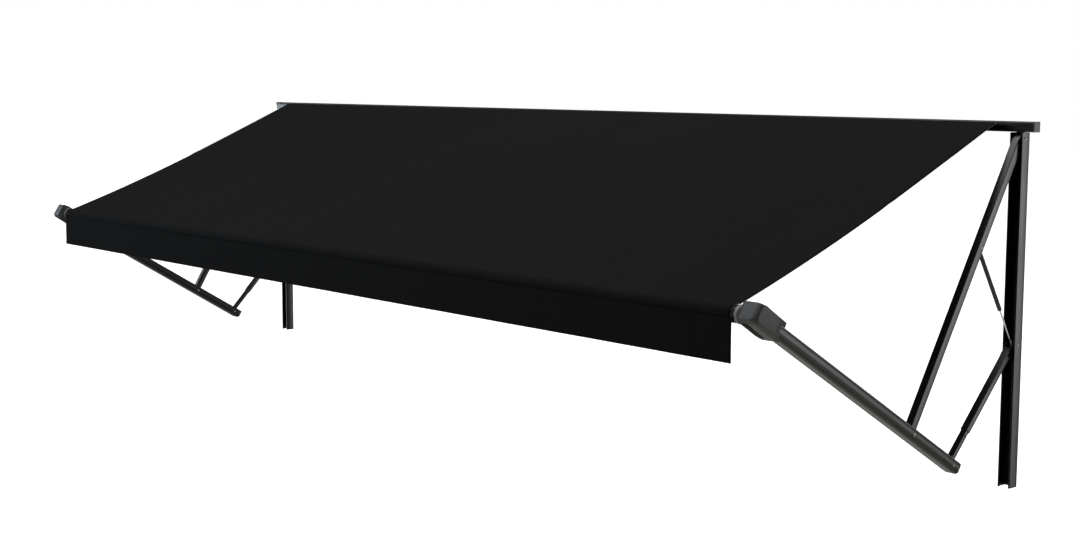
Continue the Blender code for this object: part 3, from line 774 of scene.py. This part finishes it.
def main_arm(side, label):
    section = main_section()
    ends = ((MAIN_END, 0.016, 0.004),)
    piece = carried("main_arm_skin_" + label, main, stations(MAIN_END, MAIN_TOP, 0.016, 0.002),
                    lambda s: tapered(section, MAIN_BACK, MAIN_FRONT, s, ends), side * ARM_X)
    finish(piece, COAT, "main_arms", "powder_coat", "main_arm_" + label)
    face = 0.0262
    h = MAIN_HALF
    plug = rounded_loop([(-h, -MAIN_BACK), (-h, face), (h, face), (h, -MAIN_BACK)],
                        [0.003, 0.012, 0.012, 0.003])
    depth = ((-0.0140, 0.86, 0.72), (-0.0130, 0.92, 0.82), (-0.0105, 0.96, 0.92), (-0.0060, 0.975, 0.97),
             (-0.0004, 0.98, 0.99), (-0.0002, 0.88, 0.86), (0.0130, 0.88, 0.86))
    back = np.array([0, MAIN_BACK])
    rows = np.stack([(plug + back) * (wide, deep) - back for _, wide, deep in depth])
    s = MAIN_END + np.array([row[0] for row in depth])[:, None]
    cap = make_piece("main_arm_plug_" + label, main.place(s, rows[..., 1], side * ARM_X + rows[..., 0]))
    finish(cap, PLASTIC, "main_arms", "moulded_plastic", "main_arm_end_cap_" + label)


# %% [markdown]
# The lower arm telescopes: a square sleeve, open at the back round its pin, and a channel slide inside it
# that ends in a rounded tongue between the main arm's cheeks.

# %% Lower arms
def ring(s, half, front, back, radius):
    """A rounded rectangle of (s, across, out) points at one station."""
    loop = rounded_loop([(-half, -back), (-half, front), (half, front), (half, -back)], [radius] * 4)
    return np.column_stack([np.full(len(loop), s), loop])


def plate(name, arm, outline, x_low, x_high, edge=0.0006):
    """A flat plate in the side plane with its edges broken by a small chamfer."""
    outline = np.array(outline)
    core = outline.mean(0)
    small = outline - (outline - core) / np.linalg.norm(outline - core, axis=1)[:, None] * edge
    levels = np.array([x_low, x_low + edge, x_high - edge, x_high])[:, None]
    rows = np.stack([small, outline, outline, small])
    return make_piece(name, arm.place(rows[..., 0], rows[..., 1], levels))


def lower_arm(side, label):
    x = side * ARM_X
    half, front, back, wall = 0.0185, 0.0160, 0.0130, 0.002
    inner = (half - wall, front - wall, back - wall, 0.0012)
    mouth, end, round_off, front_reach = 0.0750, 0.5100, 0.003, 0.0520
    rows = np.stack([
        ring(mouth + 0.0002, *inner), ring(mouth, half - 0.0003, front - 0.0003, back - 0.0003, round_off),
        ring(mouth + 0.0006, half, front, back, round_off), ring(end - 0.0010, half, front, back, round_off),
        ring(end, half - 0.0008, front - 0.0008, back - 0.0008, round_off), ring(end, *inner),
        ring(mouth + 0.0002, *inner)])
    at_mouth, in_front = rows[..., 0] < mouth + 0.0010, rows[..., 2] > 0
    rows[..., 0] -= np.where(at_mouth & in_front, front_reach, 0.0)
    tube = make_piece("sleeve_tube", lower.place(rows[..., 0], rows[..., 2], x + rows[..., 1]), caps=False)
    cheek = rounded_loop([(-0.013, -back), (-0.013, front), (0.078, front), (0.078, -back)],
                         [0.0125, 0.0125, 0.001, 0.001], 8)
    cheeks = [plate("cheek", lower, cheek, x + low, x + low + wall) for low in (-half, half - wall)]
    sleeve = join_pieces("sleeve_skin_" + label, [tube, *cheeks])
    finish(sleeve, COAT, "lower_sleeves", "powder_coat", "lower_sleeve_" + label)
    section = channel(0.0155, 0.0095, 0.0125, 0.002, 0.0022)
    end = lower.length + 0.011
    ends = ((end, 0.011, 0.011),)
    slide = carried("slide_skin_" + label, lower, stations(0.22, end, 0.002, 0.011),
                    lambda s: tapered(section, 0.0095, 0.0125, s, ends), x)
    finish(slide, COAT, "lower_slides", "powder_coat", "lower_slide_" + label)


# %% [markdown]
# The gas strut is a painted cylinder with a crimped mouth and a hard-chromed rod. Each ends in a
# ring round its pin: a torus of tube radius q about a circle of radius p.

# %% Gas struts
strut = Arm(STRUT_TOP, LOW_PIVOT)


def eye(name, centre, x, p, q, width=1.0):
    """Torus: radius p + q cos b about the X axis, and x + width q sin b."""
    t = np.linspace(0, 2 * np.pi, 28, endpoint=False)
    b = np.linspace(0, 2 * np.pi, 15)[:, None]
    radius = p + q * np.cos(b)
    across = x + width * q * np.sin(b) + 0 * t
    points = np.stack([across, centre[0] + radius * np.cos(t), centre[1] + radius * np.sin(t)], -1)
    return make_piece(name, points, caps=False)


def gas_strut(side, label):
    x = side * ARM_X
    body = turned_along("strut_body", strut, x, [
        (0.0070, 0.0045), (0.0120, 0.0048), (0.0125, 0.0085), (0.0150, 0.0096), (0.0180, 0.0100),
        (0.3480, 0.0100), (0.3500, 0.0094), (0.3530, 0.0094), (0.3550, 0.0100), (0.3590, 0.0097),
        (0.3610, 0.0080), (0.3605, 0.0046), (0.3500, 0.0044)], 32)
    top_ring = eye("strut_top_eye", STRUT_TOP, x, 0.0070, 0.0024, 1.8)
    cylinder = join_pieces("strut_cylinder_skin_" + label, [body, top_ring])
    finish(cylinder, COAT, "strut_cylinders", "powder_coat", "strut_cylinder_" + label)
    rod = turned_along("strut_shaft", strut, x, [
        (0.3400, 0.0040), (strut.length - 0.0178, 0.0040), (strut.length - 0.0173, 0.0052),
        (strut.length - 0.0120, 0.0052), (strut.length - 0.0070, 0.0042)], 28)
    foot_ring = eye("strut_foot_eye", LOW_PIVOT, x, 0.0066, 0.0021, 1.6)
    shaft = join_pieces("strut_rod_skin_" + label, [rod, foot_ring])
    finish(shaft, CHROME, "strut_rods", "polished_steel", "strut_rod_" + label)


# %% [markdown]
# The post is a lipped channel that the folded arms lie in, and the rail is a box with a round bead
# channel along its top front edge. Both are straight, so two ends of the outline are enough.

# %% Posts and rail
def post(side, label):
    half, deep, wall, lip = 0.0335, 0.0595, 0.003, 0.009
    outline = rounded_loop([
        (-half, 0), (half, 0), (half, deep), (half - lip, deep), (half - lip, deep - wall),
        (half - wall, deep - wall),
        (half - wall, wall), (-half + wall, wall), (-half + wall, deep - wall), (-half + lip, deep - wall),
        (-half + lip, deep), (-half, deep)], [0.001, 0.001, 0.002, 0.0008, 0.0008, 0.0005] + [0.001] * 2
        + [0.0005, 0.0008, 0.0008, 0.002], 4)
    drop = post_line.length
    piece = carried("post_skin_" + label, post_line, np.linspace(0, drop, 12), lambda s: outline,
                    side * ARM_X)
    return finish(piece, COAT, "wall_frame", "powder_coat", "post_" + label)


def rail_outline():
    """The box, with a nose of radius 7.5 mm whose bore opens forwards in a 3.4 mm slot."""
    bead, outer, bore, slot = BEAD, 0.0075, 0.0048, 0.0017
    meet = math.acos((-0.045 - bead[0]) / outer)
    skin = np.linspace(np.pi / 2, np.pi - math.asin(slot / outer), 10)
    inside = np.linspace(np.pi - math.asin(slot / bore), -np.pi + math.asin(slot / bore), 26)
    under = np.linspace(-np.pi + math.asin(slot / outer), -meet, 10)
    arcs = [bead + r * np.stack([np.cos(a), np.sin(a)], -1)
            for r, a in ((outer, skin), (bore, inside), (outer, under))]
    box = [(-0.045, 0.004), (-0.0443, 0.0034), (-0.0443, -0.0034), (-0.045, -0.004), (-0.045, -0.0225),
           (-0.0435, -0.024), (-0.001, -0.024), (0.0, -0.023), (0.0, 0.023), (-0.001, 0.024)]
    return np.concatenate([*arcs, box])


def prism_x(name, outline, x_low, x_high, rows=2):
    levels = np.linspace(x_low, x_high, rows)[:, None]
    y, z = outline.T
    points = np.stack([levels + 0 * y, y + 0 * levels, z + 0 * levels], -1)
    return make_piece(name, points)


def rail():
    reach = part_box("wall_rail")[1].x
    piece = prism_x("wall_rail_skin", rail_outline(), -reach, reach, 24)
    finish(piece, COAT, "wall_frame", "powder_coat", "wall_rail")
    for side, label in SIDES:
        outline = rounded_loop([(-0.046, -0.025), (0.0, -0.025), (0.0, 0.025), (-0.046, 0.025)],
                               [0.003, 0.001, 0.001, 0.003])
        core = outline.mean(0)
        sizes = np.array([(0.0004, 0.0), (0.0032, 0.0), (0.0040, 0.0006), (0.0044, 0.0016),
                          (0.0044, 0.0040), (0.0040, 0.0046)])
        shift = (outline - core) / np.linalg.norm(outline - core, axis=1)[:, None]
        rows = outline - shift * sizes[:, 1][:, None, None]
        x = side * (reach + sizes[:, :1])
        points = np.stack([x + 0 * rows[..., 0], rows[..., 0], rows[..., 1]], -1)
        cap = make_piece("rail_cap_skin_" + label, points)
        finish(cap, PALE_CAP, "wall_frame", "moulded_plastic", "rail_end_cap_" + label)


# %% [markdown]
# ## Heads
# The moulded head is lofted across the arm. Its outline at the canopy side has a thin flange and a
# shadow groove; towards the outer side every point moves to a smaller outline along a quarter
# ellipse, which makes the large soft corner at the end and the facet towards the arm. Two thin
# near-black plates on the front, set almost flush, are painted shade in place of the recessed slots.

# %% Heads
HEAD_RADII = [0.003, 0.020, 0.006, 0.010, 0.012, 0.020, 0.006, 0.003]
HEAD_FULL = [(1.040, -0.0535), (1.195, -0.0590), (1.2350, -0.0520), (1.2390, 0.0275), (1.2190, 0.0400),
             (1.100, 0.0430), (1.052, 0.0390), (1.040, 0.0300)]
HEAD_FACE = [(1.098, -0.0450), (1.185, -0.0505), (1.2130, -0.0445), (1.2160, 0.0130), (1.1990, 0.0230),
             (1.125, 0.0265), (1.110, 0.0235), (1.098, 0.0150)]


def shrunk(outline, amount):
    """Move every point of a convex outline towards its middle by an equal amount."""
    away = outline - outline.mean(0)
    return outline - away / np.linalg.norm(away, axis=1)[:, None] * amount


def head(side, label):
    full = rounded_loop(HEAD_FULL, HEAD_RADII, 6)
    face = rounded_loop(HEAD_FACE, HEAD_RADII, 6)
    flange, groove = shrunk(full, -0.0010), shrunk(full, 0.0022)
    rows = [(-0.0530, flange), (-0.0500, flange), (-0.0498, groove), (-0.0474, groove), (-0.0472, full)]
    for x in np.linspace(-0.030, 0.012, 4):
        rows.append((x, full))
    near_arm = face[:, :1] < 1.115
    for turn in np.linspace(0, np.pi / 2, 12)[1:]:
        x = 0.0165 + 0.0240 * math.sin(turn)
        share = np.where(near_arm, np.clip((x - 0.0270) / 0.0135, 0, 1), 1 - math.cos(turn))
        rows.append((x, full + (face - full) * share))
    x = side * (ARM_X + np.array([row[0] for row in rows]))[:, None]
    outline = np.stack([row[1] for row in rows])
    piece = make_piece("head_shell_" + label, main.place(outline[..., 0], outline[..., 1], x), sharp=28.0)
    # The slot plates are flat and near black: painted shade where the head has recessed slots.
    slots = []
    for start, end in ((1.088, 1.150), (1.158, 1.214)):
        slot = rounded_loop([(start, 0.0395), (end, 0.0385), (end, 0.0436), (start, 0.0446)],
                            [0.0006, 0.0006, 0.0012, 0.0012])
        low, high = sorted((side * (ARM_X - 0.041), side * (ARM_X - 0.014)))
        slots.append(plate("slot", main, slot, low, high, 0.0012))
    finish(join_pieces("head_slot_shade_" + label, slots), SLOT_SHADE, "main_arms", "moulded_plastic")
    finish(piece, PLASTIC, "main_arms", "moulded_plastic", "head_housing_" + label, "head_cover_" + label)


# %% [markdown]
# ## Fasteners
# A turned profile of (distance, radius) rows gives the washer, the dome and the recess. Rows marked
# as hexagonal use the radius r cos(30) / cos(a mod 60 - 30), which is a hexagon of the same width.

# %% Bolts, pins and buttons
def fastener(name, centre, x, out, profile, sides=()):
    """Spin (height, radius) rows about X at x, with height counted outwards; listed rows are hexagonal."""
    profile = np.array(profile)
    t = np.linspace(0, 2 * np.pi, 48, endpoint=False)
    hexagon = math.cos(math.pi / 6) / np.cos(np.mod(t, math.pi / 3) - math.pi / 6)
    shape = np.ones((len(profile), len(t)))
    shape[list(sides)] = hexagon
    radius = profile[:, 1:] * shape
    height = x + out * profile[:, :1] + 0 * t
    points = np.stack([height, centre[0] + radius * np.cos(t), centre[1] + radius * np.sin(t)], -1)
    return make_piece(name, points)


DOME = [(-0.0030, 0.0046), (0.0, 0.0046), (0.0, 0.0072), (0.0008, 0.0072), (0.0009, 0.0062), (0.0026, 0.0058),
        (0.0036, 0.0048), (0.0040, 0.0034), (0.0040, 0.0027), (0.0022, 0.0026), (0.0020, 0.0004)]
RIVET = [(-0.0080, 0.0044), (0.0, 0.0046), (0.0, 0.0062), (0.0010, 0.0061), (0.0024, 0.0050),
         (0.0032, 0.0030), (0.0030, 0.0016), (0.0022, 0.0008)]


def pair_of(name, centre, side, reach, profile, sides, body, nodes):
    """Two heads that face outwards, with the shank between them where one bolt goes right through."""
    parts = [fastener("head", centre, side * ARM_X + out * reach, out, profile, sides) for out in (-1, 1)]
    if len(nodes) == 1:
        ends = side * ARM_X + np.array([-reach, reach])
        parts.append(turned("shank", centre, [(ends[0], 0.0044), (ends[1], 0.0044)]))
    return finish(join_pieces(name, parts), ZINC, body, "zinc_steel", *nodes)


def fasteners(side, label):
    socket = (8, 9, 10)
    reach = 0.0336
    pair_of("top_bolt_" + label, TOP_PIVOT, side, reach, DOME, socket,
            "wall_frame", ["top_pivot_bolt_" + label])
    pair_of("elbow_bolt_skin_" + label, ELBOW, side, reach, DOME, socket,
            "main_arms", ["elbow_bolt_" + label])
    pair_of("strut_pin_skin_" + label, STRUT_TOP, side, 0.0193, RIVET, (),
            "upper_arms", ["strut_pin_" + label])
    low_names = [f"low_pivot_pin_{label}_{where}" for where in ("outer", "inner")]
    pair_of("low_pins_" + label, LOW_PIVOT, side, reach, RIVET, (), "wall_frame", low_names)
    foot_names = [f"foot_pin_{label}_{where}" for where in ("outer", "inner")]
    pair_of("foot_pins_" + label, FOOT, side, reach, RIVET, (), "main_arms", foot_names)
    spot = lower.start + 0.532 * lower.along
    button = fastener("button_skin_" + label, spot, side * (ARM_X + 0.0155), side, [
        (-0.0080, 0.0060), (-0.0028, 0.0060), (-0.0028, 0.0040), (0.0030, 0.0040), (0.0044, 0.0034),
        (0.0050, 0.0022), (0.0051, 0.0004)])
    finish(button, ZINC, "button_" + label, "zinc_steel", "lock_button_" + label)


rail()
for side, label in SIDES:
    post(side, label)
    upper_arm(side, label)
    main_arm(side, label)
    lower_arm(side, label)
    gas_strut(side, label)
    head(side, label)
    fasteners(side, label)

# %% [markdown]
# The pieces that keep the frame's own shape still need a finish: the brackets in the post tops, the
# tube and its end flanges, the spindles, the gear case and the bearing block.

# %% Finishes for the frame's own pieces
OWN = {"hanger_bracket": ZINC, "idler_spindle": ZINC, "roller_end": PALE_CAP, "roller_tube": COAT,
       "drive_motor": ALLOY, "gear_case": ALLOY, "bearing_block": ALLOY}
for name, node in frame["nodes"].items():
    for stem, material in OWN.items():
        if name.startswith(stem):
            node.data.materials.clear()
            node.data.materials.append(material)
plain = [o.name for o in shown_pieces() if not o.data.materials or not o.data.materials[0].name in
         {m.name for m in (COAT, PLASTIC, SLOT_SHADE, PALE_CAP, CANVAS, ZINC, CHROME, ALLOY)}]
print("pieces without a finish:", plain)
